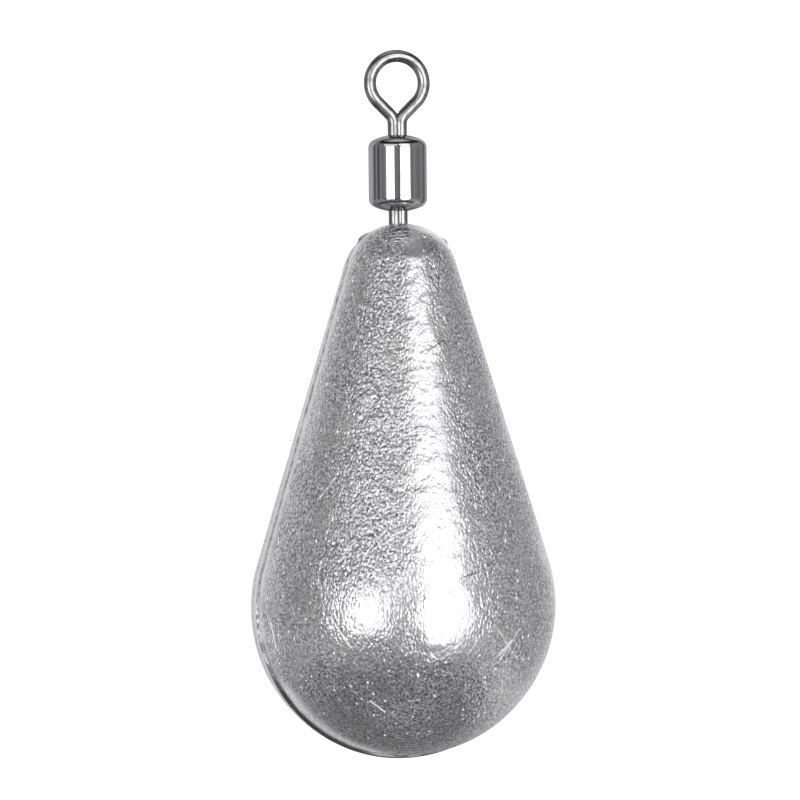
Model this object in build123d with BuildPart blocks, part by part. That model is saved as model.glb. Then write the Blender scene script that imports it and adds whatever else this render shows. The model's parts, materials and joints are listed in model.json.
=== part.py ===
from build123d import *
from math import acos, atan2, cos, degrees, hypot, radians, sin, sqrt
import os

# A hanging fishing sinker: a lead teardrop cast on to the lower eye of a rolling swivel.
# The origin is the middle of the upper eye, where the line is tied, and everything hangs below it along -Z.
# Sizes are in millimetres and angles in degrees.

# Lead teardrop: a round belly, a straight flank and a rounded nose
BELLY_DIAMETER = 18.88
TEARDROP_HEIGHT = 33.14
NOSE_RADIUS = 3.30
NOSE_FLAT_DIAMETER = 0.55

# Parting seam of the two-part mould: the front half stands a little out of line and a thin fin runs round it
SEAM_TURN = 8.0
MOULD_SLIP_ACROSS = 0.15
MOULD_SLIP_UP = 0.20
FIN_HEIGHT = 0.08
FIN_THICKNESS = 0.16

# Wire eyes: a round loop with straight lower sides, drawn in to two legs that are pressed into one shank
WIRE_DIAMETER = 0.76
EYE_OPENING = 2.63
EYE_SIDE_SLOPE = 45.0
NECK_INSIDE_BEND = 0.45
SHANK_WIDTH = 1.20

# Lengths of shank that show between the eye and the barrel, and between the barrel and the lead
UPPER_SHANK = 0.74
LOWER_SHANK = 0.80

# Barrel: a tube with both ends swaged in over the heads of the wires
BARREL_DIAMETER = 3.65
BARREL_LENGTH = 4.70
BARREL_WALL = 0.35
BARREL_INSIDE_BEND = 0.20
BARREL_BEND_TURN = 64.0
BARREL_CROWN_RISE = 0.27

# Running clearances between the barrel and the wires that turn in it, and the length of each wire's upset head
SHANK_CLEARANCE = 0.07
HEAD_CLEARANCE = 0.08
HEAD_LENGTH = 1.40

# The wire's centre line
wire_radius = WIRE_DIAMETER / 2
leg_offset = SHANK_WIDTH / 2 - wire_radius
loop_radius = EYE_OPENING / 2 + wire_radius
neck_radius = NECK_INSIDE_BEND + wire_radius
neck_turn = 90 - EYE_SIDE_SLOPE
slope_sin = sin(radians(EYE_SIDE_SLOPE))
slope_cos = cos(radians(EYE_SIDE_SLOPE))
eye_side = (loop_radius * slope_sin - leg_offset - neck_radius * (1 - slope_sin)) / slope_cos
neck_drop = (loop_radius + neck_radius) * slope_cos + eye_side * slope_sin

# The barrel's section
hole_radius = SHANK_WIDTH / 2 + SHANK_CLEARANCE
barrel_outside_bend = BARREL_INSIDE_BEND + BARREL_WALL
barrel_dome = barrel_outside_bend * sin(radians(BARREL_BEND_TURN)) + BARREL_CROWN_RISE
barrel_shoulder = BARREL_LENGTH / 2 - barrel_dome
head_inset = BARREL_WALL + HEAD_CLEARANCE
head_top = BARREL_LENGTH / 2 - head_inset
head_bottom = head_top - HEAD_LENGTH
leg_end = (head_top + head_bottom) / 2

# Heights along the sinker, measured from the middle of the barrel and then from the origin
neck_height = BARREL_LENGTH / 2 + UPPER_SHANK
loop_height = neck_height + neck_drop
barrel_middle = -loop_height
nose_top = barrel_middle - BARREL_LENGTH / 2 - LOWER_SHANK
belly_radius = BELLY_DIAMETER / 2
belly_middle = nose_top - MOULD_SLIP_UP - TEARDROP_HEIGHT + belly_radius

# The flank touches both the belly's circle and the nose's circle
nose_centre_out = NOSE_FLAT_DIAMETER / 2
nose_centre_up = TEARDROP_HEIGHT - belly_radius - NOSE_RADIUS
centre_distance = hypot(nose_centre_out, nose_centre_up)
radius_difference = belly_radius - NOSE_RADIUS
flank_length = sqrt(centre_distance**2 - radius_difference**2)
flank_normal = atan2(nose_centre_up, nose_centre_out) - acos(radius_difference / centre_distance)
flank_slope = degrees(flank_normal)

# The line eye faces the front, and the lower eye and the mould's seam are turned about the hanging axis
seam_x = cos(radians(SEAM_TURN))
seam_y = sin(radians(SEAM_TURN))
line_eye_plane = Plane(origin=(0, 0, barrel_middle), x_dir=(1, 0, 0), z_dir=(0, -1, 0))
anchor_eye_plane = Plane(origin=(0, 0, barrel_middle), x_dir=(seam_x, seam_y, 0), z_dir=(-seam_y, seam_x, 0))
rear_plane = Plane(origin=(0, 0, belly_middle), x_dir=(seam_x, seam_y, 0), z_dir=(seam_y, -seam_x, 0))
front_plane = Plane(
    origin=rear_plane.from_local_coords((MOULD_SLIP_ACROSS, MOULD_SLIP_UP, 0)),
    x_dir=rear_plane.x_dir,
    z_dir=rear_plane.z_dir,
)

os.makedirs("parts", exist_ok=True)


def barrel_outline(inset, bottom):
    """Closed half outline of the barrel's upper end, set in from its outside and cut off at a height."""
    wall_radius = BARREL_DIAMETER / 2 - inset
    end_height = BARREL_LENGTH / 2 - inset
    with BuildLine() as outline:
        side = Line((wall_radius, bottom), (wall_radius, barrel_shoulder))
        bend = JernArc(side @ 1, side % 1, barrel_outside_bend - inset, BARREL_BEND_TURN)
        crown = TangentArc(bend @ 1, (hole_radius, end_height), tangent=bend % 1)
        Polyline(crown @ 1, (0, end_height), (0, bottom), side @ 0)
    return outline.edges()


def teardrop_outline():
    """Closed half outline of the teardrop, from the top of its nose to the bottom of its belly."""
    top = TEARDROP_HEIGHT - belly_radius
    with BuildLine() as outline:
        flat = Line((0, top), (nose_centre_out, top))
        nose = JernArc(flat @ 1, flat % 1, NOSE_RADIUS, flank_slope - 90)
        flank = PolarLine(nose @ 1, flank_length, direction=nose % 1)
        belly = JernArc(flank @ 1, flank % 1, belly_radius, -flank_slope - 90)
        Line(belly @ 1, flat @ 0)
    return outline.edges()


def make_eye(eye_plane):
    """One bent wire with its upset head. The plane's y axis runs from the barrel's middle to the eye."""
    with BuildPart() as eye:
        with BuildLine(eye_plane) as half_line:
            leg = Line((leg_offset, leg_end), (leg_offset, neck_height))
            bend = JernArc(leg @ 1, leg % 1, neck_radius, -neck_turn)
            side = PolarLine(bend @ 1, eye_side, direction=bend % 1)
            JernArc(side @ 1, side % 1, loop_radius, 90 + neck_turn)
        with BuildSketch(Plane(origin=leg @ 0, z_dir=leg % 0)):
            Circle(wire_radius)
        sweep(path=half_line.line)
        mirror(about=Plane(origin=eye_plane.origin, z_dir=eye_plane.x_dir))
        with BuildSketch(eye_plane):
            make_face(barrel_outline(head_inset, head_bottom))
        revolve(axis=Axis(eye_plane.origin, eye_plane.y_dir))
    return eye


# Upper wire, which the line is tied to
line_eye = make_eye(line_eye_plane)
line_eye.part.label = "line_eye"
export_step(line_eye.part, "parts/line_eye.step")

# Lower wire, which the lead is cast round
anchor_eye = make_eye(anchor_eye_plane)
anchor_eye.part.label = "anchor_eye"
export_step(anchor_eye.part, "parts/anchor_eye.step")

# Tube that holds both heads and lets each wire turn
with BuildPart() as swivel_barrel:
    with BuildSketch(line_eye_plane):
        make_face(barrel_outline(0, 0))
        make_face(barrel_outline(BARREL_WALL, 0), mode=Mode.SUBTRACT)
        mirror(about=Plane.XZ)
    revolve(axis=Axis(line_eye_plane.origin, line_eye_plane.y_dir))
    with Locations(line_eye_plane.origin):
        Cylinder(hole_radius, BARREL_LENGTH, mode=Mode.SUBTRACT)
swivel_barrel.part.label = "swivel_barrel"
export_step(swivel_barrel.part, "parts/swivel_barrel.step")

# Lead cast in two mould halves, with the fin between them, around the lower wire
with BuildPart() as lead_casting:
    with BuildSketch(front_plane):
        make_face(teardrop_outline())
    revolve(axis=Axis(front_plane.origin, front_plane.y_dir), revolution_arc=-180)
    with BuildSketch(rear_plane):
        make_face(teardrop_outline())
    revolve(axis=Axis(rear_plane.origin, rear_plane.y_dir), revolution_arc=180)
    with BuildSketch(front_plane):
        make_face(teardrop_outline())
        mirror(about=Plane.YZ)
        offset(amount=FIN_HEIGHT, mode=Mode.REPLACE)
    extrude(amount=FIN_THICKNESS / 2, both=True)
    add(anchor_eye.part, mode=Mode.SUBTRACT)
lead_casting.part.label = "lead_casting"
export_step(lead_casting.part, "parts/lead_casting.step")
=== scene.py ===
# %% [markdown]
# # A fishing sinker on a rolling swivel
# The real thing is a lead teardrop that was poured in a two-part mould, straight on to the lower eye of
# a small swivel. The swivel is a bright tube with two bent wires in it, and each wire turns freely.
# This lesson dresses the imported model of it: four pieces, each replaced by a smooth mesh in the same place.
# Everything is drawn in millimetres, as on a workshop drawing, and turned into Blender's metres at the end.

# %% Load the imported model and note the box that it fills
import json
from math import acos, atan2, ceil, cos, degrees, hypot, pi, radians, sin, sqrt, tan
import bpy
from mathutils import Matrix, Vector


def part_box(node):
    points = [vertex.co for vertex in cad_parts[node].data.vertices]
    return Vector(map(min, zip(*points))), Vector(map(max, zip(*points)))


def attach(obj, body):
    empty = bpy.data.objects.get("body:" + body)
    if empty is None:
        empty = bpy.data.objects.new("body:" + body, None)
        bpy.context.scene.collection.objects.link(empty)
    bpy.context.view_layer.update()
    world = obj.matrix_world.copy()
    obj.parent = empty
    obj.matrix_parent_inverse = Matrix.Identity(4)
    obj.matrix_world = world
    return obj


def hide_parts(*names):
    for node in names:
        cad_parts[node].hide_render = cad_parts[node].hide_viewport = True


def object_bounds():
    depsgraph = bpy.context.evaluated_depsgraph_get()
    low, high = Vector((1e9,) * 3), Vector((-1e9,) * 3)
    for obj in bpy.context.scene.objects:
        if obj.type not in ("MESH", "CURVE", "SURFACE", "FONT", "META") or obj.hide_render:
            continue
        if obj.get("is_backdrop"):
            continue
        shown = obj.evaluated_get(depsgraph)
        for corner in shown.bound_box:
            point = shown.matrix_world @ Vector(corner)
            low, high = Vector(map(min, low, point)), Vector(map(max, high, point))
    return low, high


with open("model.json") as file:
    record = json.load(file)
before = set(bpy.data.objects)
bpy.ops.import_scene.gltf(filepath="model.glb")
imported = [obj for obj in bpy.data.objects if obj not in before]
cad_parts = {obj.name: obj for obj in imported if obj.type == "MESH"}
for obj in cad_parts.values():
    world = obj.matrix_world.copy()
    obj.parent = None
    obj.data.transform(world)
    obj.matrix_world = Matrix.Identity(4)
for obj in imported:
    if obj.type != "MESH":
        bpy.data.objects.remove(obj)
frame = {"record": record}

from types import SimpleNamespace

import bmesh
import bpy
from mathutils import Vector

MM = 0.001
cad_box = [list(corner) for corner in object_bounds()]
scene = bpy.context.scene
print("CAD box in mm", [[round(value / MM, 2) for value in corner] for corner in cad_box])

# %% [markdown]
# ## The camera
# The photograph looks at the sinker level, from close by with a long lens, and the sinker leans a touch to
# the left in it. The bright line that runs over the top of the eye shows that the eye is not quite square
# on: the camera stands a little to its left. A camera could be aimed by eye, but here the picture gives the
# facts: the scale, the row of the line eye's middle, the lean and the turn. The camera's distance and height
# follow.

# %% Stand the camera where the photographer stood
PICTURE_SIDE = 800
MM_PER_PIXEL = 0.0623
LINE_EYE_ROW = 83.1
LENS = 216.0
SENSOR = 36.0
LEAN = 0.58
CAMERA_TURN = -9

camera_distance = LENS / SENSOR * PICTURE_SIDE * MM_PER_PIXEL
camera_height = (LINE_EYE_ROW - PICTURE_SIDE / 2) * MM_PER_PIXEL
lens_data = bpy.data.cameras.new("portrait_camera")
lens_data.lens = LENS
lens_data.sensor_width = SENSOR
lens_data.clip_start = MM
camera = bpy.data.objects.new("portrait_camera", lens_data)
camera_right = camera_distance * sin(radians(CAMERA_TURN))
camera_front = camera_distance * cos(radians(CAMERA_TURN))
camera.location = Vector((camera_right, -camera_front, camera_height)) * MM
camera.rotation_euler = (radians(90), radians(LEAN), radians(CAMERA_TURN))
scene.collection.objects.link(camera)
scene.camera = camera
print("camera stands", round(camera_distance, 1), "mm off, at height", round(camera_height, 1), "mm")

# %% [markdown]
# ## A bench for node trees
# Materials, the surroundings and Geometry Nodes are all trees of nodes. Built call by call they fill pages,
# so a small helper adds one node at a time, plugs in numbers or other nodes, and hands back what comes out.

# %% Make the node bench
class NodeBench:
    """A node tree on the bench. Each call adds one node and hands back what comes out of it."""

    def __init__(self, tree):
        self.tree = tree

    def plug(self, socket, value):
        if isinstance(value, bpy.types.NodeSocket):
            self.tree.links.new(value, socket)
        else:
            socket.default_value = value

    def add(self, kind, inputs=None, **settings):
        node = self.tree.nodes.new(kind)
        for name, value in settings.items():
            setattr(node, name, value)
        for name, value in (inputs or {}).items():
            socket = next(each for each in node.inputs if each.enabled and each.name == name)
            self.plug(socket, value)
        return node

    def out(self, kind, inputs=None, **settings):
        node = self.add(kind, inputs, **settings)
        return next(each for each in node.outputs if each.enabled)

    def fill(self, node, values):
        """Plugs values into a node in their order."""
        sockets = [each for each in node.inputs if each.enabled]
        for socket, value in zip(sockets, values):
            self.plug(socket, value)
        return next(each for each in node.outputs if each.enabled)

    def math(self, operation, *values):
        return self.fill(self.add("ShaderNodeMath", operation=operation), values)

    def vector(self, operation, *values):
        return self.fill(self.add("ShaderNodeVectorMath", operation=operation), values)

    def scaled(self, value, scale, shift):
        """A value times a scale, plus a shift."""
        return self.math("MULTIPLY_ADD", value, scale, shift)

    def times(self, first, *others):
        """All the values multiplied, one after the other."""
        for other in others:
            first = self.math("MULTIPLY", first, other)
        return first

    def plus(self, first, second):
        return self.math("ADD", first, second)

    def minus(self, first, second):
        return self.math("SUBTRACT", first, second)

    def larger(self, first, second):
        return self.math("MAXIMUM", first, second)

    def face_camera(self, vector):
        """The same vector as the camera sees it: x to the picture's right and y away from the camera."""
        turned = {"Vector": vector, "Angle": radians(-CAMERA_TURN)}
        return self.out("ShaderNodeVectorRotate", turned, rotation_type="Z_AXIS")

    def split(self, vector):
        return self.add("ShaderNodeSeparateXYZ", {"Vector": vector}).outputs[:]

    def combine(self, x, y, z):
        return self.out("ShaderNodeCombineXYZ", {"X": x, "Y": y, "Z": z})

    def ramp(self, value, low, high, start=0.0, end=1.0):
        limits = {"From Min": low, "From Max": high, "To Min": start, "To Max": end}
        return self.out("ShaderNodeMapRange", {"Value": value, **limits}, interpolation_type="SMOOTHSTEP")

    def stops(self, value, levels):
        """A grey ramp through (position, level) pairs."""
        node = self.add("ShaderNodeValToRGB", {"Fac": value})
        for number, (position, level) in enumerate(levels):
            stop = node.color_ramp.elements[number] if number < 2 else node.color_ramp.elements.new(position)
            stop.position = position
            stop.color = (level, level, level, 1)
        return node.outputs["Color"]

    def noise(self, place, scale, detail=2.0, roughness=0.5):
        shape = {"Detail": detail, "Roughness": roughness}
        return self.add("ShaderNodeTexNoise", {"Vector": place, "Scale": scale, **shape}).outputs[0]

    def between(self, factor, first, second):
        """A number between two others."""
        numbers = {"Factor": factor, "A": first, "B": second}
        return self.out("ShaderNodeMix", numbers, data_type="FLOAT")

    def blend(self, factor, first, second):
        """A colour between two others."""
        colours = {"Factor": factor, "A": first, "B": second}
        return self.out("ShaderNodeMix", colours, data_type="RGBA")


print("node bench ready")

# %% [markdown]
# ## The studio
# Bright metal shows little but its surroundings, so the studio is most of the finish. Three softboxes stand
# in front and draw the white strips on the lead and on the barrel: a wide one high on the right, an oval one
# below it and a low one to the left. Dim panels and cards at the sides and at the back give softer greys.
# Each box is placed by the directions it covers, seen from the sinker.

# %% Hang the softboxes
STUDIO_MIDDLE = Vector((0, 0, -25))
SOFTBOX_DISTANCE = 700
# Azimuths from and to, elevations from and to, brightness and shape
SOFTBOXES = {
    "high_right": (9, 49, 20, 34.5, 2.9),
    "low_right": (9, 52, -29, 19, 2.15, "ELLIPSE"),
    "low_left": (-45, -13, -18, 10, 3.0),
    "dim_upper_left": (-54, -2, 12, 34, 1.05),
    "right_fill": (50, 118, 9, 40, 0.20),
    "low_right_fill": (50, 118, -34, -3, 0.20),
    "left_fill": (-118, -55, 12, 40, 0.16),
    "low_left_card": (-112, -58, -36, -4, 0.18),
    "low_rear_card": (92, 140, -50, -32, 0.45),
    "rear_left_panel": (-175, -113, -22, 55, 0.33),
    "rear_right_panel": (140, 172, -30, 55, 0.36),
}


def direction(azimuth, elevation):
    """Unit vector towards the studio wall. Azimuth 0 is the camera's side and 90 is the picture's right."""
    flat = cos(radians(elevation))
    turn = radians(azimuth + CAMERA_TURN)
    return Vector((flat * sin(turn), -flat * cos(turn), sin(radians(elevation))))


def hang_softbox(name, left, right, low, high, brightness, shape="RECTANGLE"):
    """An area light that covers the given directions and shines on the middle of the sinker."""
    aim = direction((left + right) / 2, (low + high) / 2)
    lamp = bpy.data.lights.new(name, "AREA")
    lamp.shape = shape
    lamp.size = 2 * SOFTBOX_DISTANCE * MM * tan(radians(right - left) / 2)
    lamp.size_y = 2 * SOFTBOX_DISTANCE * MM * tan(radians(high - low) / 2)
    lamp.energy = brightness * pi * lamp.size * lamp.size_y
    softbox = bpy.data.objects.new(name, lamp)
    softbox.location = (STUDIO_MIDDLE + aim * SOFTBOX_DISTANCE) * MM
    softbox.rotation_euler = aim.to_track_quat("Z", "Y").to_euler()
    softbox.visible_camera = False
    scene.collection.objects.link(softbox)


for name, place in SOFTBOXES.items():
    hang_softbox(name, *place)
print("softboxes", len(SOFTBOXES))

# %% [markdown]
# The walls of the studio are the world's own colour. What the camera sees directly is plain white, as in the
# photograph, and so is what lights the floor. What the metal mirrors is darker: grey walls with faint
# upright stripes and a paler rail at the height of the swivel, a dark curtain on the left, a paler wall
# behind, a dark gap below the ceiling, and a dark table that is pale near its edge and right underneath.
# The levels below run from straight down at -1 to straight up at 1.

# %% Paint the studio walls
WALL_LEVELS = (
    (-1.00, 0.90),
    (-0.985, 0.26),
    (-0.93, 0.08),
    (-0.82, 0.04),
    (-0.74, 0.14),
    (-0.60, 0.34),
    (-0.44, 0.24),
    (-0.10, 0.14),
    (-0.03, 0.30),
    (0.13, 0.30),
    (0.20, 0.14),
    (0.56, 0.12),
    (0.62, 0.03),
    (0.84, 0.03),
    (0.93, 0.45),
    (1.00, 0.80),
)
REAR_WALL = 0.45
REAR_TABLE = 0.7
ROOM_TINT = (0.98, 0.975, 1.0, 1)
STRIPE_LEVELS = (0.55, 1.4)
STRIPES_PER_RADIAN = 3.0
DARK_CURTAIN = -82
CURTAIN_LEVEL = 0.45
CURTAIN_EDGES = (0.05, 0.16)
PAPER_WHITE = 1.2

world = bpy.data.worlds.new("studio_walls")
world.use_nodes = True
scene.world = world
world.node_tree.nodes.clear()
walls = NodeBench(world.node_tree)
look = walls.add("ShaderNodeTexCoord").outputs["Generated"]
right, back, up = walls.split(walls.face_camera(look))
front_wall = walls.stops(
    walls.scaled(up, 0.5, 0.5),
    [(height / 2 + 0.5, level) for height, level in WALL_LEVELS],
)
turn = walls.math("ARCTAN2", right, walls.times(back, -1))
folds = walls.noise(walls.combine(turn, 0.0, 0.0), STRIPES_PER_RADIAN, detail=1)
stripes = walls.ramp(folds, 0.3, 0.7, *STRIPE_LEVELS)
behind = walls.times(walls.ramp(back, 0.35, 0.9), walls.ramp(up, -0.5, -0.2))
wall = walls.between(behind, front_wall, REAR_WALL)
from_curtain = walls.math("ABSOLUTE", walls.minus(turn, radians(DARK_CURTAIN)))
curtain = walls.ramp(from_curtain, *CURTAIN_EDGES, CURTAIN_LEVEL, 1.0)
under_back = walls.times(walls.ramp(back, 0.1, 0.5), walls.ramp(up, -0.5, -0.65))
table = walls.scaled(under_back, REAR_TABLE - 1, 1)
seen = walls.times(wall, stripes, curtain, table)
mirrored = walls.out("ShaderNodeBackground", {"Color": ROOM_TINT, "Strength": seen})
paper = walls.out("ShaderNodeBackground", {"Color": (1, 1, 1, 1), "Strength": PAPER_WHITE})
is_mirrored = walls.add("ShaderNodeLightPath").outputs["Is Glossy Ray"]
mixer = walls.add("ShaderNodeMixShader", {"Fac": is_mirrored})
walls.plug(mixer.inputs[1], paper)
walls.plug(mixer.inputs[2], mirrored)
walls.add("ShaderNodeOutputWorld", {"Surface": mixer.outputs[0]})
scene.view_settings.view_transform = "Standard"
print("walls painted with", len(world.node_tree.nodes), "nodes")

# %% Lay the pale floor well below the hanging sinker
FLOOR_DROP = 30
FLOOR_SIDE = 8000
FLOOR_COLOUR = (0.9, 0.9, 0.9, 1)
FLOOR_ROUGHNESS = 0.9

floor_mesh = bpy.data.meshes.new("pale_floor")
floor_shape = bmesh.new()
bmesh.ops.create_grid(floor_shape, x_segments=1, y_segments=1, size=FLOOR_SIDE / 2 * MM)
bmesh.ops.translate(floor_shape, verts=floor_shape.verts, vec=(0, 0, cad_box[0][2] - FLOOR_DROP * MM))
floor_shape.to_mesh(floor_mesh)
floor_shape.free()
paper_floor = bpy.data.materials.new("pale_paper")
paper_floor.use_nodes = True
floor_look = paper_floor.node_tree.nodes["Principled BSDF"].inputs
floor_look["Base Color"].default_value = FLOOR_COLOUR
floor_look["Roughness"].default_value = FLOOR_ROUGHNESS
floor_mesh.materials.append(paper_floor)
floor = bpy.data.objects.new("pale_floor", floor_mesh)
floor.visible_glossy = False
scene.collection.objects.link(floor)
floor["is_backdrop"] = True
print("floor at", round(cad_box[0][2] / MM - FLOOR_DROP, 1), "mm")

# %% [markdown]
# ## Drawing outlines
# A bent wire and a turned outline are both drawn the same way: go straight for a length, bend through an
# angle, go on. A curve object could hold such a path, but its handles would have to be worked out by hand.
# The pencil below walks along the drawing instead and leaves a point at every short stride, so an arc
# stays a true arc and a corner stays where it is.

# %% Make the pencil
class Pencil:
    """Draws a line of straights and arcs from a start and a heading, with a point at every stride."""

    def __init__(self, start, heading, stride):
        self.points = [start]
        self.heading = heading
        self.stride = stride

    def curve(self, length, turn):
        count = ceil(length / self.stride)
        x, y = self.points[-1]
        for number in range(1, count + 1):
            share = number / count
            half_turn = radians(turn) * share / 2
            chord = length * share * (sin(half_turn) / half_turn if turn else 1)
            angle = radians(self.heading) + half_turn
            self.points.append((x + chord * cos(angle), y + chord * sin(angle)))
        self.heading += turn

    def go(self, length):
        self.curve(length, 0)

    def bend(self, radius, turn):
        self.curve(radius * radians(abs(turn)), turn)

    def reach(self, point):
        """An arc that starts along the present heading and ends in a point."""
        across = point[0] - self.points[-1][0]
        up = point[1] - self.points[-1][1]
        half_turn = (degrees(atan2(up, across)) - self.heading + 180) % 360 - 180
        bow = radians(half_turn) / sin(radians(half_turn)) if half_turn else 1
        self.curve(hypot(across, up) * bow, 2 * half_turn)


print("pencil ready")

# %% [markdown]
# ## From a drawing to a piece
# Geometry Nodes do the shaping. A drawn line becomes a mesh of points and edges, a node tree with named sizes
# turns it into a surface, and the result is kept as a plain mesh. The sizes are set on the modifier by each
# socket's identifier, because names may repeat. Last, the faces are all turned outwards, and the piece says
# whether it is closed and how much metal it holds.

# %% Make the helpers that run a tree
SHARP_CORNER = 30


def new_tree(name, sockets):
    """An empty Geometry Nodes tree with named inputs. Hands back its bench and its input sockets."""
    tree = bpy.data.node_groups.new(name, "GeometryNodeTree")
    for label, kind in sockets.items():
        tree.interface.new_socket(label, in_out="INPUT", socket_type="NodeSocket" + kind)
    tree.interface.new_socket("Piece", in_out="OUTPUT", socket_type="NodeSocketGeometry")
    bench = NodeBench(tree)
    return bench, bench.add("NodeGroupInput").outputs


def close_tree(bench, mesh, finish):
    """The common end of every tree: smooth faces, sharp true corners, real geometry and its finish."""
    corner = bench.out("GeometryNodeInputMeshEdgeAngle")
    limits = {"A": corner, "B": radians(SHARP_CORNER)}
    sharp = bench.out("FunctionNodeCompare", limits, operation="GREATER_THAN")
    faces = bench.out("GeometryNodeSetShadeSmooth", {"Geometry": mesh, "Shade Smooth": True}, domain="FACE")
    edges = {"Geometry": faces, "Selection": sharp, "Shade Smooth": False}
    shaded = bench.out("GeometryNodeSetShadeSmooth", edges, domain="EDGE")
    whole = bench.out("GeometryNodeRealizeInstances", {"Geometry": shaded})
    dressed = bench.out("GeometryNodeSetMaterial", {"Geometry": whole, "Material": finish})
    bench.add("NodeGroupOutput", {"Piece": dressed})


def make_piece(name, points, tree, sizes):
    """Draws the points as a line in metres, runs a tree on it and keeps the result as a plain mesh."""
    line = bpy.data.meshes.new(name + "_line")
    spots = [Vector(point) * MM for point in points]
    line.from_pydata(spots, [(number, number + 1) for number in range(len(spots) - 1)], [])
    piece = bpy.data.objects.new(name, line)
    scene.collection.objects.link(piece)
    modifier = piece.modifiers.new(tree.name, "NODES")
    modifier.node_group = tree
    for socket in tree.interface.items_tree:
        if socket.in_out == "INPUT" and socket.name in sizes:
            modifier[socket.identifier] = sizes[socket.name]
    drawn = piece.evaluated_get(bpy.context.evaluated_depsgraph_get())
    mesh = bpy.data.meshes.new_from_object(drawn)
    piece.modifiers.remove(modifier)
    piece.data = mesh
    return piece


def finish_shape(piece):
    """Turns every face outwards and prints what the piece measures."""
    shape = bmesh.new()
    shape.from_mesh(piece.data)
    bmesh.ops.recalc_face_normals(shape, faces=shape.faces)
    open_edges = sum(1 for edge in shape.edges if not edge.is_manifold)
    volume = shape.calc_volume(signed=True) / MM**3
    shape.to_mesh(piece.data)
    shape.free()
    triangles = sum(len(face.vertices) - 2 for face in piece.data.polygons)
    print(piece.name, "triangles", triangles, "open edges", open_edges, "volume in mm3", round(volume, 3))


print("helpers ready")

# %% [markdown]
# ## Bright metals
# Both wires are hard drawn stainless wire, bright but not a mirror, and handling has left dull stains on it.
# The barrel is plated and polished. One plain metal shader would look like liquid, so the roughness and the
# stains change in small patches, and noise dimples the surface by a thousandth of a millimetre at most.

# %% Mix the bright metals
STAIN_EDGES = (0.48, 0.62)


def new_finish(name):
    """A material without nodes, and the bench to fill it on."""
    material = bpy.data.materials.new(name)
    material.use_nodes = True
    material.node_tree.nodes.clear()
    return material, NodeBench(material.node_tree)


def close_finish(bench, look):
    """The common end of every finish: one shader with the given look."""
    shader = bench.out("ShaderNodeBsdfPrincipled", look)
    bench.add("ShaderNodeOutputMaterial", {"Surface": shader})


def bright_metal(name, colour, edge, roughness, patch_size, dimple_size, dimple_depth, stain):
    """A polished metal with cloudy roughness, fine dimples and dull stains. Sizes are in millimetres."""
    material, bench = new_finish(name)
    place = bench.add("ShaderNodeTexCoord").outputs["Object"]
    patches = bench.noise(place, 1 / (patch_size * MM), detail=3)
    dimples = bench.noise(place, 1 / (dimple_size * MM), detail=2)
    relief = {"Height": dimples, "Distance": dimple_depth * MM, "Strength": 1.0}
    dulled = tuple(level * (1 - stain) for level in colour)
    close_finish(bench, {
        "Base Color": bench.blend(bench.ramp(patches, *STAIN_EDGES), (*colour, 1), (*dulled, 1)),
        "Specular Tint": (*edge, 1),
        "Metallic": 1.0,
        "Roughness": bench.ramp(patches, 0.35, 0.7, *roughness),
        "Normal": bench.out("ShaderNodeBump", relief),
    })
    return material


wire_finish = bright_metal(
    "bright_wire", (0.42, 0.42, 0.425), edge=(0.02, 0.02, 0.02), roughness=(0.22, 0.30),
    patch_size=0.4, dimple_size=0.25, dimple_depth=0.0003, stain=0.3,
)
barrel_finish = bright_metal(
    "plated_barrel", (0.52, 0.52, 0.53), edge=(0.6, 0.6, 0.6), roughness=(0.05, 0.10),
    patch_size=0.9, dimple_size=0.5, dimple_depth=0.001, stain=0.05,
)
print("metals", wire_finish.name, barrel_finish.name)

# %% [markdown]
# ## The two bent wires
# A wire is a path with a round section: up one leg, out at the neck, round the loop and back down. The curve
# bevel could do it, and so can the Curve to Mesh node, which is used here because the wire's
# thickness then stays a named size. Inside the barrel each wire is upset into a round head, so that it can't
# pull out. A head is turned, so a second tree spins an outline about the hanging axis.

# %% Build the tree that draws a wire along a path
def wire_tree():
    """A round wire along a path, welded to its head."""
    bench, sizes = new_tree("wire_along_a_path", {
        "Path": "Geometry",
        "Wire diameter": "Float",
        "Sides": "Int",
        "Head": "Object",
        "Finish": "Material",
    })
    path = bench.out("GeometryNodeMeshToCurve", {"Mesh": sizes["Path"]})
    radius = bench.math("DIVIDE", sizes["Wire diameter"], 2)
    section = bench.out("GeometryNodeCurvePrimitiveCircle", {"Resolution": sizes["Sides"], "Radius": radius})
    parts = {"Curve": path, "Profile Curve": section, "Fill Caps": True}
    tube = bench.out("GeometryNodeCurveToMesh", parts)
    head = bench.add("GeometryNodeObjectInfo", {"Object": sizes["Head"]}).outputs["Geometry"]
    bends = {"Self Intersection": True}
    weld = bench.add("GeometryNodeMeshBoolean", bends, operation="UNION", solver="EXACT")
    for metal in (tube, head):
        bench.plug(weld.inputs["Mesh 2"], metal)
    close_tree(bench, weld.outputs["Mesh"], sizes["Finish"])
    return bench.tree


draw_wire = wire_tree()
print(draw_wire.name, len(draw_wire.nodes), "nodes")

# %% Build the tree that spins an outline
WELD_DISTANCE = 0.0001


def sample_outline(bench, outline, row):
    """The outline's point at a row, as a vector: its radius in x and its height in z."""
    where = bench.out("GeometryNodeInputPosition")
    parts = {"Geometry": outline, "Value": where, "Index": row}
    return bench.out("GeometryNodeSampleIndex", parts, data_type="FLOAT_VECTOR", domain="POINT", clamp=True)


def count_rows(bench, outline):
    """The number of points in an outline."""
    size = bench.add("GeometryNodeAttributeDomainSize", {"Geometry": outline}, component="MESH")
    return size.outputs["Point Count"]


def column_and_row(bench, rows):
    """A grid counts its points column by column, so the running number gives both."""
    number = bench.out("GeometryNodeInputIndex")
    column = bench.math("FLOOR", bench.math("DIVIDE", number, rows))
    return column, bench.minus(number, bench.times(column, rows))


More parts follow.
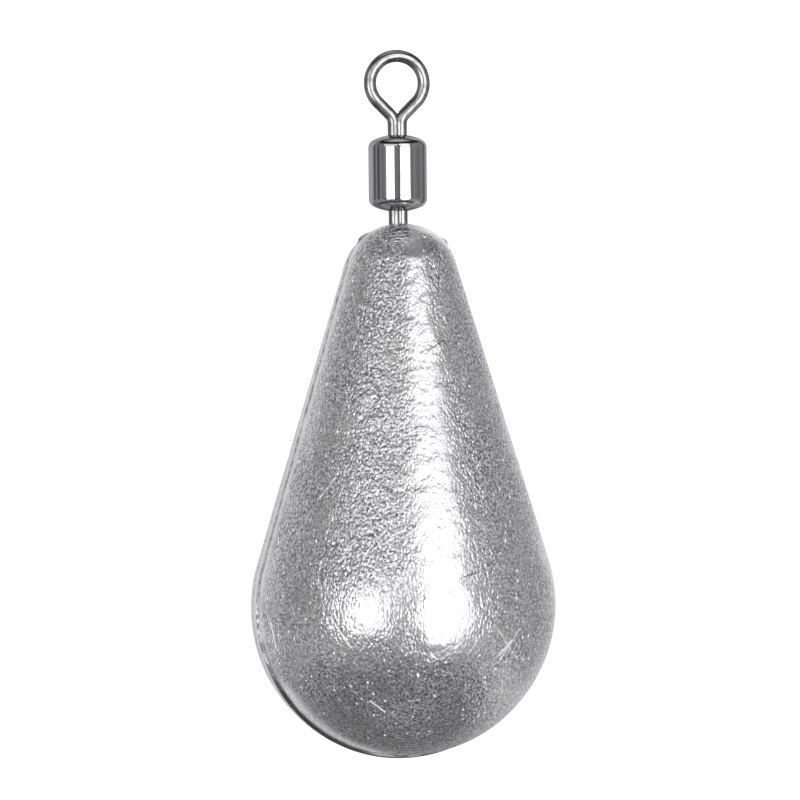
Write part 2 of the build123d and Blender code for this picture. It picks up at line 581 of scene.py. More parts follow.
def swing(bench, angle, out, up):
    """So far out from the hanging axis at an angle round it, and so far up."""
    x = bench.times(out, bench.math("COSINE", angle))
    y = bench.times(out, bench.math("SINE", angle))
    return bench.combine(x, y, up)


def spin_tree():
    """A grid wrapped round the hanging axis, each row at its own radius and height."""
    bench, sizes = new_tree("spin_an_outline", {
        "Outline": "Geometry",
        "Columns": "Int",
        "Finish": "Material",
    })
    rows = count_rows(bench, sizes["Outline"])
    columns = bench.plus(sizes["Columns"], 1)
    grid = bench.out("GeometryNodeMeshGrid", {"Vertices X": columns, "Vertices Y": rows})
    column, row = column_and_row(bench, rows)
    turn = bench.times(bench.math("DIVIDE", column, sizes["Columns"]), 2 * pi)
    radius, _, height = bench.split(sample_outline(bench, sizes["Outline"], row))
    place = swing(bench, turn, radius, height)
    spun = bench.out("GeometryNodeSetPosition", {"Geometry": grid, "Position": place})
    closed = bench.out("GeometryNodeMergeByDistance", {"Geometry": spun, "Distance": WELD_DISTANCE * MM})
    close_tree(bench, closed, sizes["Finish"])
    return bench.tree


spin_outline = spin_tree()
print(spin_outline.name, len(spin_outline.nodes), "nodes")

# %% [markdown]
# The sizes of the wire come from the record where it states them: the eye's opening and the wire's thickness
# are the mount that the line is tied to. The neck is drawn in until the two legs stand side by side.
# The lower wire is the same wire, upside down, and turned with the seam of the lead's mould.

# %% Work out the swivel's sizes
line_mount = frame["record"]["mounts"][0]
wire_diameter = line_mount["dims"]["length_mm"]
eye_opening = 2 * line_mount["dims"]["r_mm"]
barrel_middle = frame["record"]["behaviour"]["joints"][0]["pos_m"][2] / MM
barrel_low, barrel_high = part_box("swivel_barrel")
barrel_length = (barrel_high.z - barrel_low.z) / MM
barrel_radius = (barrel_high.x - barrel_low.x) / MM / 2
SHANK_WIDTH = 1.20
NECK_INSIDE_BEND = 0.45
EYE_SIDE_SLOPE = 45
SEAM_TURN = 8
BARREL_WALL = 0.35
BARREL_INSIDE_BEND = 0.20
BARREL_BEND_TURN = 64
BARREL_CROWN_RISE = 0.27
SHANK_CLEARANCE = 0.07
HEAD_CLEARANCE = 0.08
HEAD_LENGTH = 1.40

wire_radius = wire_diameter / 2
leg_offset = SHANK_WIDTH / 2 - wire_radius
loop_radius = eye_opening / 2 + wire_radius
neck_radius = NECK_INSIDE_BEND + wire_radius
neck_turn = 90 - EYE_SIDE_SLOPE
slope = radians(EYE_SIDE_SLOPE)
eye_side = (loop_radius * sin(slope) - leg_offset - neck_radius * (1 - sin(slope))) / cos(slope)
neck_drop = (loop_radius + neck_radius) * cos(slope) + eye_side * sin(slope)
neck_height = -barrel_middle - neck_drop
hole_radius = SHANK_WIDTH / 2 + SHANK_CLEARANCE
outside_bend = BARREL_INSIDE_BEND + BARREL_WALL
shoulder = barrel_length / 2 - outside_bend * sin(radians(BARREL_BEND_TURN)) - BARREL_CROWN_RISE
head_inset = BARREL_WALL + HEAD_CLEARANCE
head_top = barrel_length / 2 - head_inset
head_bottom = head_top - HEAD_LENGTH
leg_end = (head_top + head_bottom) / 2
print("wire", wire_diameter, "mm, barrel", round(2 * barrel_radius, 2), "by", round(barrel_length, 2), "mm")

# %% Bend the wires and put their heads on
WIRE_STRIDE = 0.06
WIRE_SIDES = 40
TURNED_COLUMNS = 96


def wire_path():
    """Centre line of one wire, measured from the middle of the barrel."""
    pencil = Pencil((leg_offset, leg_end), 90, WIRE_STRIDE)
    leg = neck_height - leg_end
    pencil.go(leg)
    pencil.bend(neck_radius, -neck_turn)
    pencil.go(eye_side)
    pencil.bend(loop_radius, 180 + 2 * neck_turn)
    pencil.go(eye_side)
    pencil.bend(neck_radius, -neck_turn)
    pencil.go(leg)
    return pencil.points


def barrel_end(inset, bottom, stride):
    """Outline of the barrel's upper end, set in from its outside, from a height up to the hole's edge."""
    pencil = Pencil((barrel_radius - inset, bottom), 90, stride)
    pencil.go(shoulder - bottom)
    pencil.bend(outside_bend - inset, BARREL_BEND_TURN)
    pencil.reach((hole_radius, barrel_length / 2 - inset))
    return pencil.points


def bend_wire(name, turn, way):
    """A whole wire. The way is 1 for an eye above the barrel and -1 for one below it."""
    turn_x = cos(radians(turn))
    turn_y = sin(radians(turn))
    path = [(x * turn_x, x * turn_y, barrel_middle + way * y) for x, y in wire_path()]
    rim = barrel_end(head_inset, head_bottom, WIRE_STRIDE)
    outline = [(0, head_bottom), *rim, (0, head_top)]
    head_line = [(radius, 0, barrel_middle + way * y) for radius, y in outline]
    head_sizes = {"Columns": TURNED_COLUMNS, "Finish": wire_finish}
    head = make_piece(name + "_head", head_line, spin_outline, head_sizes)
    sizes = {"Wire diameter": wire_diameter * MM, "Sides": WIRE_SIDES, "Head": head, "Finish": wire_finish}
    wire = make_piece(name, path, draw_wire, sizes)
    bpy.data.objects.remove(head)
    finish_shape(wire)
    return wire


line_wire = bend_wire("line_wire", 0, 1)
lower_wire = bend_wire("lower_wire", SEAM_TURN, -1)
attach(line_wire, "line_eye")
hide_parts("line_eye")
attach(lower_wire, "sinker")
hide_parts("anchor_eye")

# %% [markdown]
# ## The barrel
# The barrel is a short plated tube, swaged in at both ends until it holds the heads. It could be a cylinder
# with its ends pushed in, but the rolled ends are what catches the light, so the true section is spun. It is
# hollow: its outline runs up the outside, over the rolled end, down through the hole and back along the
# inside, and the same below.

# %% Turn the barrel
BARREL_STRIDE = 0.045

upper_outside = barrel_end(0, 0, BARREL_STRIDE)
upper_inside = barrel_end(BARREL_WALL, 0, BARREL_STRIDE)
upper_half = upper_outside + upper_inside[::-1]
lower_half = [(radius, -y) for radius, y in upper_half[::-1]]
barrel_line = [(radius, 0, barrel_middle + y) for radius, y in upper_half + lower_half]
barrel_sizes = {"Columns": TURNED_COLUMNS, "Finish": barrel_finish}
swivel_tube = make_piece("swivel_tube", barrel_line, spin_outline, barrel_sizes)
finish_shape(swivel_tube)
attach(swivel_tube, "barrel")
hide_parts("swivel_barrel")

# %% [markdown]
# ## The lead teardrop
# The teardrop is a spun outline as well: a small flat on top, the rounded nose, a straight flank that touches
# nose and belly, and the round belly.

# %% Draw the teardrop's outline
BELLY_DIAMETER = 18.88
TEARDROP_HEIGHT = 33.14
NOSE_RADIUS = 3.30
NOSE_FLAT_DIAMETER = 0.55
LEAD_STRIDE = 0.142

belly_radius = BELLY_DIAMETER / 2
lead_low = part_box("lead_casting")[0].z / MM
belly_middle = lead_low + belly_radius
nose_out = NOSE_FLAT_DIAMETER / 2
nose_up = TEARDROP_HEIGHT - belly_radius - NOSE_RADIUS
centre_distance = hypot(nose_out, nose_up)
radius_difference = belly_radius - NOSE_RADIUS
flank_slope = degrees(atan2(nose_up, nose_out) - acos(radius_difference / centre_distance))
teardrop = Pencil((0, belly_middle + TEARDROP_HEIGHT - belly_radius), 0, LEAD_STRIDE)
teardrop.go(nose_out)
teardrop.bend(NOSE_RADIUS, flank_slope - 90)
teardrop.go(sqrt(centre_distance**2 - radius_difference**2))
teardrop.bend(belly_radius, -flank_slope - 90)
print("outline points", len(teardrop.points), "flank slope", round(flank_slope, 1))

# %% [markdown]
# But it was cast in two mould halves that did not quite meet. The front half stands a little to the right and
# higher than the rear half, so there is a step all round the seam, with a thin broken fin of lead on it. Two
# half shells could be joined, but their edges would have to be sewn up, so one tree makes both halves on
# one grid, whose columns crowd together at the seam. Each point of the grid first learns where the plain
# teardrop has it and how it faces.

# %% Find each point of the casting
POLE = 0.001
REAR_SHIFT = 3.7


def half_of_mould(bench, column, columns, crowding):
    """Splits the grid's columns into the two halves. Hands back the angle, and 1 on the rear half."""
    in_a_half = bench.plus(columns, 1)
    half = bench.math("FLOOR", bench.math("DIVIDE", column, in_a_half))
    rear = bench.math("COMPARE", half, 1, 0.1)
    within = bench.minus(column, bench.times(half, in_a_half))
    across = bench.scaled(bench.math("DIVIDE", within, columns), 2, -1)
    to_seam = bench.minus(1, bench.math("ABSOLUTE", across))
    crowded = bench.minus(1, bench.math("POWER", to_seam, crowding))
    eased = bench.times(bench.math("SIGN", across), crowded)
    angle = bench.times(bench.plus(bench.scaled(rear, 2, 1), eased), pi / 2)
    return angle, rear


def near_seam(bench, depth, reach):
    """1 on the seam's plane, falling to 0 at the given reach from it."""
    return bench.larger(0, bench.minus(1, bench.math("DIVIDE", depth, reach)))


def casting_point(bench, sizes, rows):
    """What a point of the grid knows: its place on the plain teardrop, its half and how it faces."""
    column, row = column_and_row(bench, rows)
    angle, rear = half_of_mould(bench, column, sizes["Columns"], sizes["Crowding"])
    rows_near = [bench.plus(row, way) for way in (-1, 0, 1)]
    before, here, after = [sample_outline(bench, sizes["Outline"], each) for each in rows_near]
    radius, _, height = bench.split(here)
    facing_up, _, down = bench.split(bench.vector("NORMALIZE", bench.vector("SUBTRACT", after, before)))
    off_pole = bench.math("GREATER_THAN", radius, POLE * MM)
    point = SimpleNamespace(rear=rear, radius=radius, height=height, facing_up=facing_up)
    facing_out = bench.times(down, -1, off_pole)
    point.out = swing(bench, angle, facing_out, facing_up)
    point.place = swing(bench, angle, radius, height)
    x, y, _ = bench.split(point.place)
    point.side = bench.times(bench.math("SIGN", x), off_pole)
    point.depth = bench.math("ABSOLUTE", y)

    # How far the front half stands proud of the rear one at the nearer side of the seam
    across = bench.times(sizes["Slip across"], point.side, facing_out)
    point.front_proud = bench.plus(across, bench.times(sizes["Slip up"], facing_up))

    # Noise runs along each rim by itself, so the two halves wear in different places
    point.start = bench.scaled(rear, REAR_SHIFT, sizes["Seed"])
    point.up_the_rim = bench.math("DIVIDE", height, sizes["Skin size"])
    point.rim = bench.combine(bench.plus(point.side, point.start), sizes["Seed"], point.up_the_rim)
    return point


print("casting points ready")

# %% [markdown]
# The edge of whichever half stands proud is rounded over, more where it has worn. Painted shade darkens the
# step, most where the step is deep and on the left, in a thin line along the seam's corner and on the
# underside, and the flash is darker too. The lead beside the seam is smooth from trimming and gets a painted
# sheen, widest inside the deep step. The fin comes and goes, and beside the nose some ragged flash was left
# on.

# %% Shape the seam
# Painted shade on the underside, from where the surface faces this far down
BOTTOM_FACING = (-0.85, -0.97)
BOTTOM_SHADE = (0.15, 0.82)
FLASH_FADE = 0.55
FLASH_REACH = 3


def worn_rim(bench, sizes, point):
    """How far the proud half's edge is rounded over, how worn it is, and 1 at the very rim."""
    own_side = bench.scaled(point.rear, -2, 1)
    proud = bench.larger(0, bench.times(point.front_proud, own_side))
    at_rim = near_seam(bench, point.depth, sizes["Rim reach"])
    flat = bench.math("SQRT", bench.minus(1, bench.times(at_rim, at_rim)))
    worn = bench.ramp(bench.noise(point.rim, 3.0, detail=2), 0.4, 0.65, sizes["Rim share"], 1.0)
    rounded = bench.times(bench.minus(1, flat), worn)
    return bench.times(proud, rounded), worn, at_rim


def seam_shade_and_sheen(bench, sizes, point, worn, at_rim):
    """Painted shade in the seam's step, along its corner and on the underside, and a band beside the seam
    that is smooth with a painted sheen.
    """
    step = bench.math("ABSOLUTE", point.front_proud)
    full = sizes["Grime step"]
    least = bench.ramp(point.side, -1, 1, sizes["Least shade left"], sizes["Least shade right"])
    # Painted shade in the step: full where the step is deep, less on the right and where the rim is worn
    in_step = bench.ramp(step, bench.times(full, 0.85), full, bench.times(least, worn), 1.0)
    # Painted shade on the underside
    shade = bench.larger(bench.ramp(point.facing_up, *BOTTOM_FACING, *BOTTOM_SHADE), in_step)
    # The painted shade lies on the rear half's lip and in a thin line along the seam's corner
    on_lip = bench.times(bench.math("POWER", at_rim, 0.5), point.rear)
    in_corner = near_seam(bench, point.depth, sizes["Fin reach"])
    seam_shade = bench.times(shade, bench.larger(on_lip, in_corner))
    # The band beside the seam: smoother grain and a painted sheen, widest inside the deep step
    deep = bench.ramp(step, bench.times(full, 0.92), full)
    wide = bench.times(sizes["Smooth reach"], bench.scaled(deep, 1.5, 1))
    band = bench.ramp(near_seam(bench, point.depth, wide), 0.0, 0.7)
    inside_step = bench.times(deep, bench.minus(1, point.rear))
    return seam_shade, bench.times(band, bench.scaled(inside_step, 0.5, 0.5))


def seam_fin(bench, sizes, point):
    """The height of the fin with its ragged flash, and how much of a point lies on the flash."""
    broken = bench.ramp(bench.noise(point.rim, 2.0, detail=3), 0.42, 0.62)
    off_axis = bench.ramp(point.radius, sizes["Fin reach"], sizes["Skin size"])
    at_fin = bench.times(near_seam(bench, point.depth, sizes["Fin reach"]), off_axis)
    top = sizes["Flash top"]
    low = bench.ramp(point.side, -1, 1, sizes["Flash bottom left"], sizes["Flash bottom right"])
    fade = bench.times(bench.minus(top, low), FLASH_FADE)
    below_top = bench.ramp(point.height, top, bench.minus(top, fade))
    above_bottom = bench.ramp(point.height, low, bench.plus(low, fade))
    ragged_rim = bench.combine(point.side, sizes["Seed"], point.up_the_rim)
    ragged = bench.ramp(bench.noise(ragged_rim, 5.0, detail=2), 0.3, 0.65, 0.35, 1.0)
    flash_zone = bench.times(below_top, above_bottom, ragged)
    flash = bench.times(flash_zone, bench.ramp(point.side, -1, 1, sizes["Flash left share"], 1.0))
    at_flash = near_seam(bench, point.depth, bench.times(sizes["Fin reach"], FLASH_REACH))
    fin = bench.times(sizes["Fin height"], broken, at_fin)
    ragged_fin = bench.plus(fin, bench.times(flash, sizes["Flash height"], at_flash))
    return ragged_fin, bench.times(flash_zone, at_flash)


print("seam ready")

# %% [markdown]
# Lead shrinks in the mould, so noise sinks the skin by a few hundredths of a millimetre, and round the shank
# the lead has crept up a little. After that the front half slips, both halves turn with the seam, and a
# life in a tackle box leaves shallow dents at scattered points.

# %% Build the tree that casts it in two halves
LEAD_LENGTHS = {
    "Slip across": 0.15,
    "Slip up": 0.20,
    "Rim reach": 0.12,
    # How far the smooth band with its painted sheen reaches from the seam
    "Smooth reach": 1.1,
    # Step at which the painted shade in the step is full
    "Grime step": 0.238,
    "Flash height": 0.48,
    "Flash top": -9.35,
    "Flash bottom left": -10.3,
    "Flash bottom right": -10.9,
    "Collar": 1.0,
    "Fin height": 0.04,
    "Fin reach": 0.05,
    "Skin depth": 0.05,
    "Skin size": 2.6,
    "Knock depth": 0.02,
    "Knock size": 0.7,
}
LEAD_NUMBERS = {
    "Crowding": 1.4,
    "Seam turn": radians(SEAM_TURN),
    "Rim share": 0.30,
    "Least shade left": 0.75,
    "Least shade right": 0.15,
    "Flash left share": 0.42,
    "Knocks": 40000.0,
}
# How much darker the flash is made
FLASH_DARKENING = 0.85
CREEP_RISE = 3


def lumpy_skin(bench, sizes, point):
    """How far the skin rises or sinks: low lumps all over and a collar crept up round the shank."""
    spot = bench.vector("DIVIDE", point.place, bench.combine(*[sizes["Skin size"]] * 3))
    own_spot = bench.vector("ADD", spot, bench.combine(*[point.start] * 3))
    lumps = bench.noise(own_spot, 1.0, detail=4, roughness=0.55)
    round_shank = bench.ramp(point.radius, sizes["Collar"], bench.times(sizes["Collar"], 0.6))
    crept = bench.times(round_shank, bench.ramp(lumps, 0.4, 0.6), sizes["Skin depth"])
    creep = bench.times(crept, bench.times(bench.larger(point.facing_up, 0), CREEP_RISE))
    return bench.minus(creep, bench.times(sizes["Skin depth"], lumps))


def put_in_place(bench, sizes, point, offset):
    """The point moved out along its own direction, slipped with the front half and turned with the seam."""
    shaped = bench.vector("ADD", point.place, bench.vector("SCALE", point.out, offset))
    slip = bench.combine(sizes["Slip across"], 0.0, sizes["Slip up"])
    own_slip = bench.vector("SCALE", slip, bench.minus(1, point.rear))
    x, y, z = bench.split(bench.vector("ADD", shaped, own_slip))
    turn_x, turn_y, _ = bench.split(swing(bench, sizes["Seam turn"], 1, 0.0))
    turned_x = bench.plus(bench.times(x, turn_x), bench.times(y, turn_y))
    turned_y = bench.minus(bench.times(x, turn_y), bench.times(y, turn_x))
    return bench.combine(turned_x, turned_y, z)


def store_mark(bench, mesh, name, value):
    """Keeps a value on every point under a name, for the material to read."""
    parts = {"Geometry": mesh, "Name": name, "Value": value}
    return bench.out("GeometryNodeStoreNamedAttribute", parts, data_type="FLOAT", domain="POINT")


def knock(bench, sizes, mesh):
    """Pushes the mesh in a little round scattered points."""
    scatter = {"Mesh": mesh, "Density": sizes["Knocks"], "Seed": sizes["Seed"]}
    points = bench.out("GeometryNodeDistributePointsOnFaces", scatter)
    nearest = bench.add("GeometryNodeProximity", {"Geometry": points}, target_element="POINTS")
    dent = bench.ramp(nearest.outputs["Distance"], 0.0, sizes["Knock size"], 1.0, 0.0)
    push = bench.times(dent, sizes["Knock depth"], -1)
    inward = bench.vector("SCALE", bench.out("GeometryNodeInputNormal"), push)
    return bench.out("GeometryNodeSetPosition", {"Geometry": mesh, "Offset": inward})


def casting_tree():
    """The whole casting: one grid for both halves, shaped point by point, closed and knocked about."""
    bench, sizes = new_tree("cast_in_two_halves", {
        "Outline": "Geometry",
        "Columns": "Int",
        "Seed": "Int",
        "Finish": "Material",
        **dict.fromkeys([*LEAD_LENGTHS, *LEAD_NUMBERS], "Float"),
    })
    rows = count_rows(bench, sizes["Outline"])
    columns = bench.scaled(sizes["Columns"], 2, 3)
    grid = bench.out("GeometryNodeMeshGrid", {"Vertices X": columns, "Vertices Y": rows})
    point = casting_point(bench, sizes, rows)
    rounded_off, worn, at_rim = worn_rim(bench, sizes, point)
    seam_shade, smooth_sheen = seam_shade_and_sheen(bench, sizes, point, worn, at_rim)
    fin, on_flash = seam_fin(bench, sizes, point)
    # The flash is darkened along with the painted seam shade
    seam_shade = bench.larger(seam_shade, bench.times(on_flash, FLASH_DARKENING))
    offset = bench.plus(bench.minus(fin, rounded_off), lumpy_skin(bench, sizes, point))
    # The painted seam shade and the smooth band with its painted sheen are kept on the points for the
    # material
    marked = store_mark(bench, grid, "seam_grime", seam_shade)
    marked = store_mark(bench, marked, "seam_smooth", smooth_sheen)
    place = put_in_place(bench, sizes, point, offset)
    cast = bench.out("GeometryNodeSetPosition", {"Geometry": marked, "Position": place})
    closed = bench.out("GeometryNodeMergeByDistance", {"Geometry": cast, "Distance": WELD_DISTANCE * MM})
    close_tree(bench, knock(bench, sizes, closed), sizes["Finish"])
    return bench.tree


cast_in_halves = casting_tree()
print(cast_in_halves.name, len(cast_in_halves.nodes), "nodes")

# %% [markdown]
# ## Cast lead
# Fresh lead is a bright bluish grey, and it dulls in days. It is so soft that every knock and nail leaves a
# bright scratch, and old scratches fill with dirt. A picture of scratches could be painted on, but a few
# lines are clearer: each scratch is drawn between two points on the front, right and up from the line eye.

# %% Draw the scratches
# Bright scratches are real marks, and their brightness is a painted glint
# Both ends, the width, and the glint or the level of grey
BRIGHT_SCRATCHES = (
    ((-4.37, -32.84), (-3.12, -34.72), 0.055, 0.75),
    ((-4.38, -33.45), (-4.32, -33.51), 0.13, 1.0),
    ((-3.61, -29.10), (-2.88, -28.44), 0.08, 0.5),
    ((-2.01, -38.01), (-1.10, -38.72), 0.06, 0.8),
    ((0.24, -38.02), (1.03, -37.97), 0.06, 0.4),
    ((5.87, -35.33), (6.62, -34.50), 0.06, 0.7),
    ((5.63, -33.47), (7.06, -35.72), 0.05, 0.4),
    ((5.93, -35.64), (7.19, -33.74), 0.05, 0.5),
    ((-5.07, -25.80), (-4.01, -24.46), 0.05, 0.4),
    ((-8.11, -33.15), (-7.75, -34.87), 0.06, 0.6),
)
DARK_SCRATCHES = (
    ((3.77, -30.50), (4.62, -30.22), 0.08, 0.4),
    ((1.81, -16.70), (2.74, -16.08), 0.08, 0.4),
)
FINE_SCRATCHES = {"size": 1.5, "width": 0.02, "glint": 0.4}


def near_line(bench, across, first, last, width):
    """1 on the line between two ends, falling to 0 at its width."""
    first, last = [Vector((x, 0, z)) * MM for x, z in (first, last)]
    run = last - first
    to_place = bench.vector("SUBTRACT", across, tuple(first))
    share = bench.vector("DOT_PRODUCT", to_place, tuple(run / run.length_squared))
    inside = bench.math("MINIMUM", bench.larger(share, 0), 1)
    nearest = bench.vector("SCALE", tuple(run), inside)
    distance = bench.vector("DISTANCE", to_place, nearest)
    return bench.ramp(distance, 0.3 * width * MM, width * MM, 1.0, 0.0)


def fine_scratches(bench, place, size, width, glint):
    """Short hair lines in all directions: pieces of the borders between scattered cells."""
    cells = {"Vector": place, "Scale": 1 / (size * MM)}
    border = bench.add("ShaderNodeTexVoronoi", cells, feature="DISTANCE_TO_EDGE").outputs["Distance"]
    line = bench.ramp(border, 0.0, width / size, glint, 0.0)
    pieces = bench.ramp(bench.noise(place, 1 / (0.7 * size * MM)), 0.55, 0.62)
    return bench.times(line, pieces)


print("scratches", len(BRIGHT_SCRATCHES) + len(DARK_SCRATCHES))

# %% [markdown]
# The skin took the grain of the mould: domed pebbles of about a sixth of a millimetre, too fine for the mesh,
# so they are a bump. They are worn down where hands and other tackle rubbed, in a streak on the right of the
# front, in two patches and along the seam. At the nose and at the bottom the sprue was trimmed with a
# file, which left bowed grooves; the grooves and the lead round the shank are darkened with painted shade.

# %% Work out the lead's relief
PEBBLE_SIZE = 0.15
PEBBLE_DEPTH = 0.024
PEBBLE_BLUR = 0.35
UPRIGHT = (1.0, 1.0, 0.6)
DIMPLE_SIZE = 0.8
DIMPLE_DEPTH = 0.05
RUBBED_LEVELS = ((0, 1.0), (0.46, 1.0), (0.50, 0.75), (0.53, 0.3), (0.57, 0.3), (0.60, 1.0), (1, 1.0))
RUBBED_DOWN_TO = (-34.5, -36.5)
RUBBED_PATCHES = (
    {"middle": (1.35, -10.45), "reach": 1.3, "calm": 0.4},
    {"middle": (-1.75, -32.7), "reach": 2.6, "calm": 0.7},
)
NOSE_GROOVES = {"middle": (0.05, -9.35), "reach": 1.1, "bow": 2.6, "pitch": 0.22}
BOTTOM_GROOVES = {"middle": (0.3, -41.2), "reach": 2.2, "bow": -9.0, "pitch": 0.20}
# Each file mark: its grooves, their depth, and the painted shade in the grooves
FILE_MARKS = (
    {"grooves": NOSE_GROOVES, "depth": 0.09, "shade": 0.9},
    {"grooves": BOTTOM_GROOVES, "depth": 0.02, "shade": 0.4},
)
GROOVE_WANDER = 12
# Painted shade round the shank, under the barrel, and how dark it is
SHANK_SHADE = {"middle": (0, -8.76), "reach": 0.9}
SHANK_DARKNESS = 0.7


def around(bench, across, middle, reach):
    """1 at a place on the front, falling to 0 at about the given reach from it, with a ragged edge."""
    distance = bench.vector("DISTANCE", across, (middle[0] * MM, 0, middle[1] * MM))
    edge = bench.noise(across, 3 / (reach * MM), detail=3)
    ragged = bench.scaled(edge, reach * MM, distance)
    return bench.ramp(ragged, 0.6 * reach * MM, 1.5 * reach * MM, 1.0, 0.0)


def grain_strength(bench, place, across, clouds):
    """How strong the grain is, and the seam band, which is smooth and carries a painted sheen."""
    x, y, z = bench.split(place)
    facing = bench.math("ARCTAN2", x, bench.times(y, -1))
    rubbed = bench.stops(bench.scaled(facing, 0.5 / pi, 0.5), RUBBED_LEVELS)
    below = bench.ramp(z, RUBBED_DOWN_TO[0] * MM, RUBBED_DOWN_TO[1] * MM)
    patchy = bench.times(bench.larger(rubbed, below), bench.ramp(clouds, 0.38, 0.62, 1.0, 0.55))
    for patch in RUBBED_PATCHES:
        inside = around(bench, across, patch["middle"], patch["reach"])
        patchy = bench.times(patchy, bench.scaled(inside, -patch["calm"], 1))
    # The seam band: smooth skin with a painted sheen
    smooth_sheen = bench.add("ShaderNodeAttribute", attribute_name="seam_smooth").outputs["Fac"]
    return bench.times(patchy, bench.ramp(smooth_sheen, 0.0, 0.5, 1.0, 0.2)), smooth_sheen


def file_marks(bench, across, middle, reach, bow, pitch):
    """Bowed grooves where the casting was trimmed: -1 in a groove and 1 on the ridge beside it."""
    hub = (middle[0] * MM, 0, (middle[1] - bow) * MM)
    wander = bench.times(bench.noise(across, 1 / (reach * MM), detail=2), GROOVE_WANDER)
    from_hub = bench.vector("DISTANCE", across, hub)
    turns = bench.scaled(from_hub, 2 * pi / (pitch * MM), wander)
    broken = bench.ramp(bench.noise(across, 3 / MM, detail=2), 0.40, 0.60)
    return bench.times(bench.math("SINE", turns), broken, around(bench, across, middle, reach))


def stir(bench, place):
    """The place pushed about a little and drawn upright, so that cells in it look poured and not cut."""
    coarse = {"Vector": place, "Scale": 1 / (2 * PEBBLE_SIZE * MM)}
    push = bench.add("ShaderNodeTexNoise", coarse).outputs["Color"]
    upright = bench.vector("MULTIPLY", place, UPRIGHT)
    return bench.vector("MULTIPLY_ADD", push, (PEBBLE_SIZE * MM,) * 3, upright)


def skin_relief(bench, place, across, stirred, strength):
    """The skin's height in millimetres, and the share of colour left after painted shade round the shank and
    in the file marks' grooves.
    """
    cells = {"Vector": stirred, "Scale": 1 / (PEBBLE_SIZE * MM), "Smoothness": PEBBLE_BLUR}
    pebbles = bench.add("ShaderNodeTexVoronoi", cells, feature="SMOOTH_F1").outputs["Distance"]
    dome = bench.times(pebbles, pebbles, -2)
    dimples = bench.noise(place, 1 / (DIMPLE_SIZE * MM), detail=1)
    height = bench.scaled(dimples, DIMPLE_DEPTH, bench.times(dome, strength, PEBBLE_DEPTH))
    # Painted shade round the shank and in the grooves darkens the colour
    relief_unshaded = bench.scaled(around(bench, place, **SHANK_SHADE), -SHANK_DARKNESS, 1)
    for marks in FILE_MARKS:
        grooves = file_marks(bench, across, **marks["grooves"])
        height = bench.scaled(grooves, marks["depth"], height)
        relief_unshaded = bench.times(relief_unshaded, bench.ramp(grooves, -0.7, 0.0, 1 - marks["shade"], 1.0))
    return height, relief_unshaded


print("relief ready")

# %% [markdown]
# The colour varies from grain to grain. The thin oxide makes the skin a little less of a metal. Specks and
# the band along the seam carry painted glints: white, less metallic spots that stand in for highlights.
# Scratches are real marks, and their brightness is painted the same way. Painted shade from the seam darkens
# everything, at the grazing edge as well, so it also lowers the metal's edge tint.

# %% Mix the cast lead
CLOUD_SIZE = 4.0
GRAIN_SIZE = 0.15
GRAIN_LEVELS = (0.40, 1.70)
# Specks are painted glints: scattered white, less metallic dots
SPECK_SIZE = 0.34
SPECK_EDGES = (0.10, 0.26)
SPECK_GLINT = 0.9
STREAK_GLINTS = (0.4, 0.75)
# How dark the painted seam shade makes the lead
SEAM_SHADE_DARKNESS = 0.96
LEAD_TINTS = ((0.58, 0.58, 0.605, 1), (0.63, 0.63, 0.635, 1))
LEAD_ROUGHNESS = (0.31, 0.23)
# Painted glint spots turn to this white and this metallic value; on scratches they are freshly cut lead as
# well
CUT_AND_GLINT_WHITE = (0.9, 0.9, 0.9, 1)
BARE_METAL = 0.89
CUT_AND_GLINT_METAL = 0.2


def bright_marks(bench, place, across, stirred, strength, smooth_sheen, grains):
    """How strong the painted glint is at each spot: specks, the smooth seam band, and the real hair lines and
    scratches.
    """
    speck = bench.add("ShaderNodeTexVoronoi", {"Vector": stirred, "Scale": 1 / (SPECK_SIZE * MM)})
    chosen = bench.ramp(bench.split(speck.outputs["Color"])[0], 0.6, 0.9)
    dot = bench.ramp(speck.outputs["Distance"], *SPECK_EDGES, SPECK_GLINT, 0.0)
    specks = bench.times(dot, chosen, bench.ramp(strength, 0.0, 0.5))
    streaks = bench.ramp(grains, 0.35, 0.65, *STREAK_GLINTS)
    # The seam band's painted sheen
    seam_sheen = bench.times(bench.math("POWER", smooth_sheen, 1.5), streaks)
    hair_lines = fine_scratches(bench, place, **FINE_SCRATCHES)
    glint = bench.larger(bench.larger(specks, seam_sheen), hair_lines)
    for first, last, width, brightness in BRIGHT_SCRATCHES:
        mark = near_line(bench, across, first, last, width)
        glint = bench.larger(glint, bench.times(mark, brightness))
    return glint


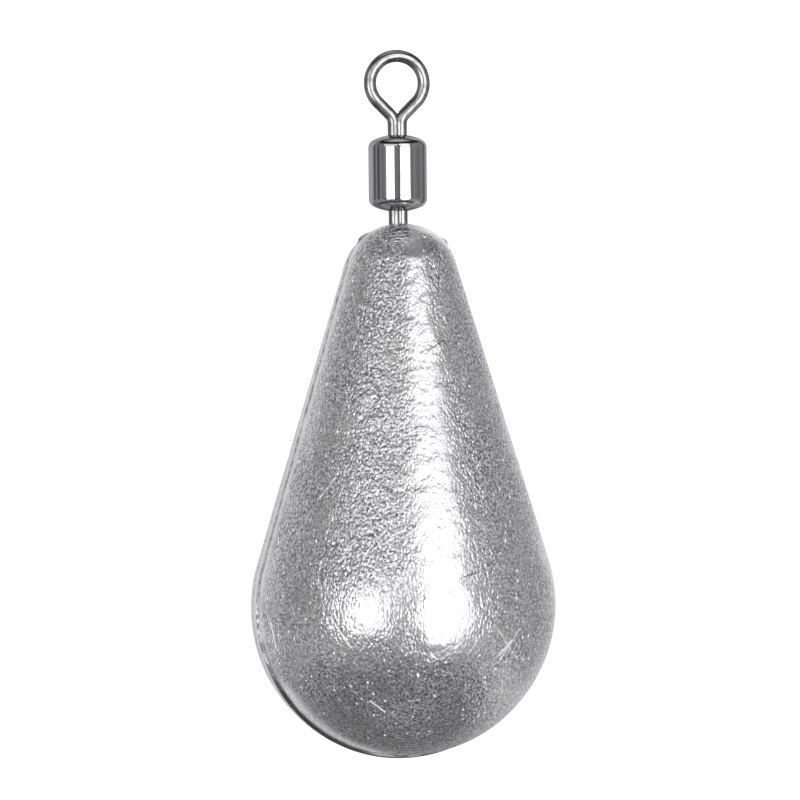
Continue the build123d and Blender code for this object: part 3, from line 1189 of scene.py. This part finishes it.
def cast_lead():
    """The lead's whole finish."""
    material, bench = new_finish("cast_lead")
    place = bench.face_camera(bench.add("ShaderNodeTexCoord").outputs["Object"])
    x, y, z = bench.split(place)
    across = bench.combine(x, bench.larger(y, 0), z)
    clouds = bench.noise(place, 1 / (CLOUD_SIZE * MM), detail=4, roughness=0.6)
    grains = bench.noise(place, 1 / (GRAIN_SIZE * MM), detail=1)
    stirred = stir(bench, place)
    strength, smooth_sheen = grain_strength(bench, place, across, clouds)
    height, relief_unshaded = skin_relief(bench, place, across, stirred, strength)
    lift = bench.ramp(grains, 0.30, 0.74, *GRAIN_LEVELS)
    level = bench.times(bench.between(strength, 1.0, lift), relief_unshaded)
    for first, last, width, darkness in DARK_SCRATCHES:
        mark = near_line(bench, across, first, last, width)
        level = bench.between(mark, level, darkness)
    # Painted shade from the seam darkens the colour, the glints and the edge tint
    seam_shade = bench.add("ShaderNodeAttribute", attribute_name="seam_grime").outputs["Fac"]
    seam_unshaded = bench.scaled(seam_shade, -SEAM_SHADE_DARKNESS, 1.0)
    glint = bench.times(bright_marks(bench, place, across, stirred, strength, smooth_sheen, grains), seam_unshaded)
    tint = bench.blend(bench.ramp(clouds, 0.35, 0.65), *LEAD_TINTS)
    shaded = bench.vector("SCALE", tint, bench.times(level, seam_unshaded))
    skin = bench.vector("MINIMUM", shaded, (1, 1, 1))
    # Where there is a painted glint, the base turns white and the lead less metallic
    close_finish(bench, {
        "Base Color": bench.blend(glint, skin, CUT_AND_GLINT_WHITE),
        "Metallic": bench.scaled(glint, CUT_AND_GLINT_METAL - BARE_METAL, BARE_METAL),
        "Roughness": bench.ramp(clouds, 0.3, 0.7, *LEAD_ROUGHNESS),
        "Normal": bench.out("ShaderNodeBump", {"Height": height, "Distance": MM, "Strength": 1.0}),
        "Specular Tint": bench.combine(seam_unshaded, seam_unshaded, seam_unshaded),
    })
    return material


lead_finish = cast_lead()
print(lead_finish.name, len(lead_finish.node_tree.nodes), "nodes")

# %% Cast the teardrop
lead_sizes = {"Columns": 168, "Seed": 4, "Finish": lead_finish, **LEAD_NUMBERS}
for name, length in LEAD_LENGTHS.items():
    lead_sizes[name] = length * MM
lead_line = [(radius, 0, height) for radius, height in teardrop.points]
lead_teardrop = make_piece("lead_teardrop", lead_line, cast_in_halves, lead_sizes)
finish_shape(lead_teardrop)
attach(lead_teardrop, "sinker")
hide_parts("lead_casting")

# %% [markdown]
# ## The sizes
# The dressed sinker should stay inside the box of the imported model. Both boxes are printed.

# %% Print both boxes
dressed_box = [list(corner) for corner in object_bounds()]
for which, box in (("CAD", cad_box), ("dressed", dressed_box)):
    print(which, [[round(value / MM, 3) for value in corner] for corner in box])
